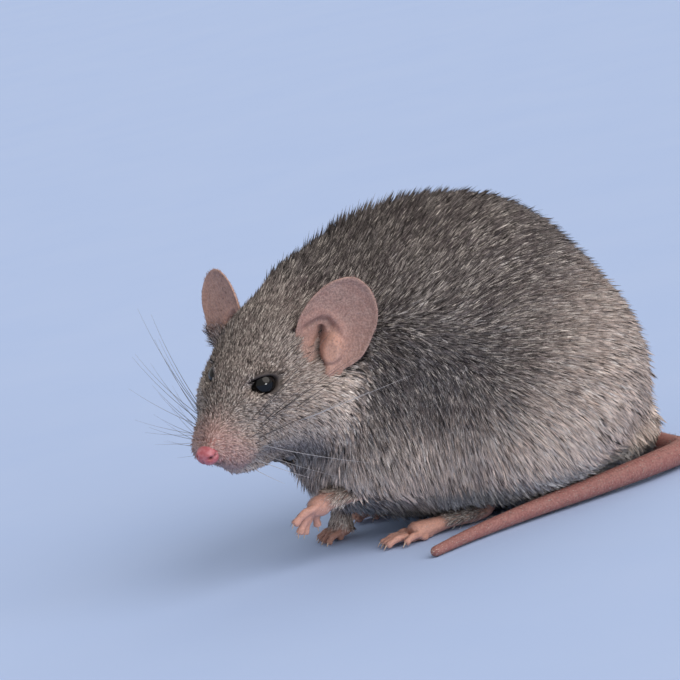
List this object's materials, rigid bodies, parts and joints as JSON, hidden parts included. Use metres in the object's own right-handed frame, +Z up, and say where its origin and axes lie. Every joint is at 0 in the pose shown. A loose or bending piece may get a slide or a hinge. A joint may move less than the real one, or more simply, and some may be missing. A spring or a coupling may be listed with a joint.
{
  "type": "house mouse model",
  "caption": "Life-size still house mouse with a grey-brown coat, crouched with its head turned to the left, one forepaw lifted and its tail laid forward.",
  "frame": {"origin": "on the floor, under the middle of the whole animal's box", "axes": "+Z up, the nose points towards -X and the mouse's left side is -Y"},
  "size_m": [0.0722, 0.0418, 0.0452],
  "materials": {
    "coat": "soft grey-brown fur",
    "skin": "thin pink skin with fine short hair",
    "nose": "moist pink skin",
    "eye": "wet gloss black"
  },
  "bodies": {
    "root": {"head": "coat", "neck": "coat", "trunk": "coat", "foreleg_left": "coat", "foreleg_right": "coat", "hindleg_left": "coat", "hindleg_right": "coat", "ear_left": "skin", "ear_right": "skin", "forepaw_left": "skin", "forepaw_right": "skin", "hindfoot_left": "skin", "hindfoot_right": "skin", "tail_1": "skin", "tail_2": "skin", "tail_3": "skin", "tail_4": "skin", "tail_5": "skin", "nose": "nose", "eye_left": "eye", "eye_right": "eye"}
  },
  "joints": []
}
